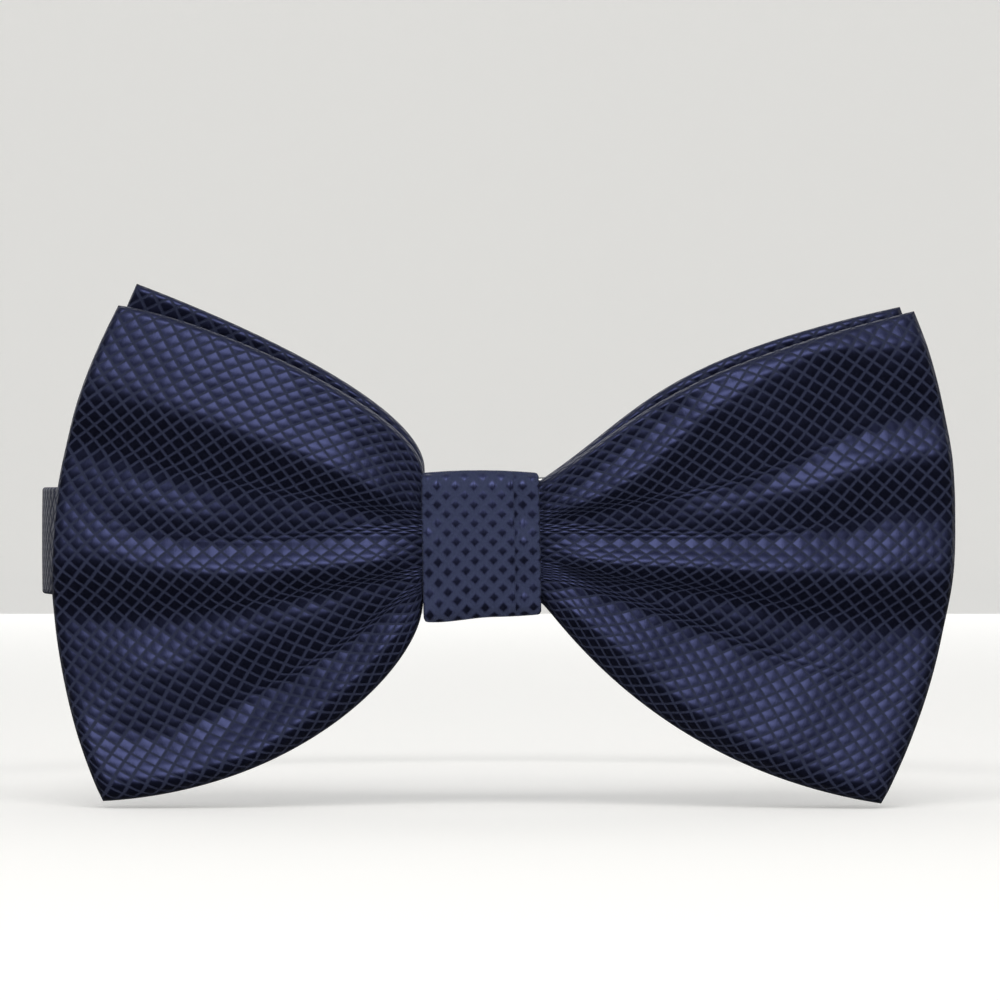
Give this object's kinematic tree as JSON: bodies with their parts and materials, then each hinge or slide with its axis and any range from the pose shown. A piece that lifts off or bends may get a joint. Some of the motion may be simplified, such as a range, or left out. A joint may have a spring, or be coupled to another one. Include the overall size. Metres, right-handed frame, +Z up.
{
  "type": "bow tie",
  "caption": "Ready-tied double-layer bow tie in a dark lattice-weave satin, gathered under a wrapped knot, on an adjustable neck band that closes with a hook and an eye behind the neck",
  "frame": {"origin": "centre of the neck loop, half way up the band", "axes": "+Z up along the neck, the bow faces -Y, +X is to the right of someone looking at the bow"},
  "size_m": [0.1284, 0.1453, 0.0686],
  "materials": {
    "satin_cloth": "satin",
    "interlining": "matte",
    "thread": "satin",
    "plated_metal": "polished"
  },
  "bodies": {
    "bow_and_band": {"front_bow": "satin_cloth", "front_interlining": "interlining", "back_bow": "satin_cloth", "back_interlining": "interlining", "gathering_thread": "thread", "knot_wrap": "satin_cloth", "knot_lining": "interlining", "knot_seam": "thread", "neck_band": "satin_cloth", "band_knot_tack": "thread", "hook_end_bartack": "thread", "band_return": "satin_cloth"},
    "slider": {"slider": "plated_metal", "band_slider_end": "satin_cloth", "slider_end_bartack": "thread"},
    "hook": {"hook": "plated_metal"},
    "eye": {"eye": "plated_metal"}
  },
  "joints": [
    {"name": "slider_slide", "type": "hinge", "parent": "bow_and_band", "child": "slider", "pos_m": [0, 0, 0], "axis": [0, 0, 1], "range_deg": [-65, 30], "deforming": ["band_return"]},
    {"name": "hook_release", "type": "hinge", "parent": "bow_and_band", "child": "hook", "pos_m": [-0.013, 0.06218, 0], "axis": [0, 0, 1], "range_deg": [0, 60]},
    {"name": "eye_swing", "type": "hinge", "parent": "bow_and_band", "child": "eye", "pos_m": [0.0115, 0.06309, 0], "axis": [0, 0, 1], "range_deg": [0, 60]}
  ]
}
